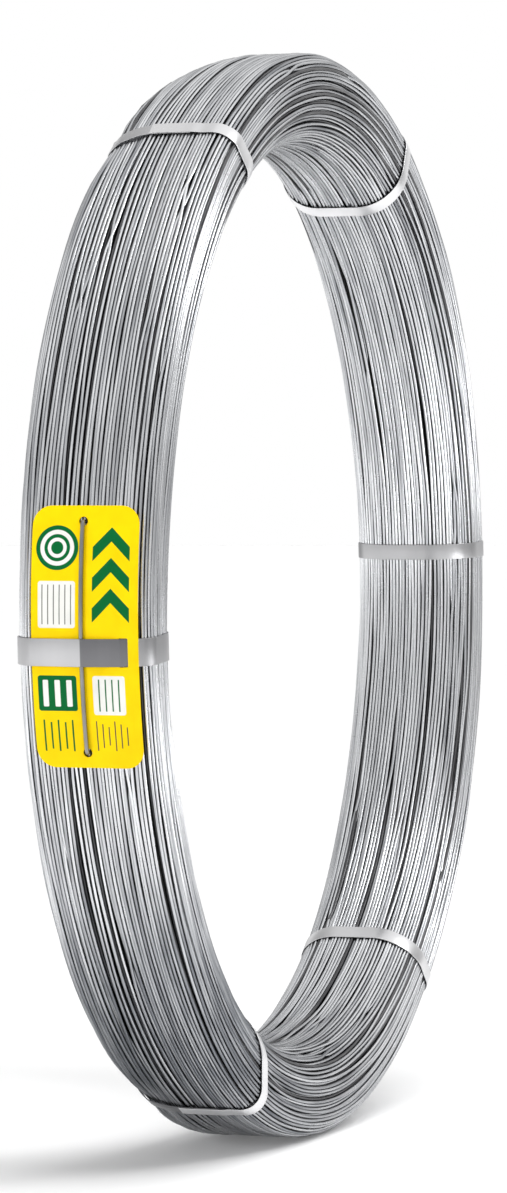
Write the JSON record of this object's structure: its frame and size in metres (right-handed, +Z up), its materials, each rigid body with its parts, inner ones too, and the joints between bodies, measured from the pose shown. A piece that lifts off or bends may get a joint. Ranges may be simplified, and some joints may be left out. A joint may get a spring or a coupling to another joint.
{
  "type": "coil of galvanised wire",
  "caption": "Ring-shaped coil of galvanised steel wire, its turns bound by flat steel straps, with a yellow tag threaded on a strand and held under a wide strap.",
  "frame": {"origin": "centre of the coil's bore, halfway along its width", "axes": "+Z up as the coil stands on its rim; the coil's axis is Y; the tag is on the -X side"},
  "size_m": [0.6648, 0.082, 0.66],
  "materials": {
    "wire": "bright galvanised",
    "strapping": "satin zinc",
    "tag": "printed, satin"
  },
  "bodies": {
    "root": {"wire_coil": "wire", "strap_1": "strapping", "strap_2": "strapping", "strap_3": "strapping", "strap_4": "strapping", "strap_5": "strapping", "wide_strap": "strapping", "tag": "tag", "tag_strand": "wire"}
  },
  "joints": []
}
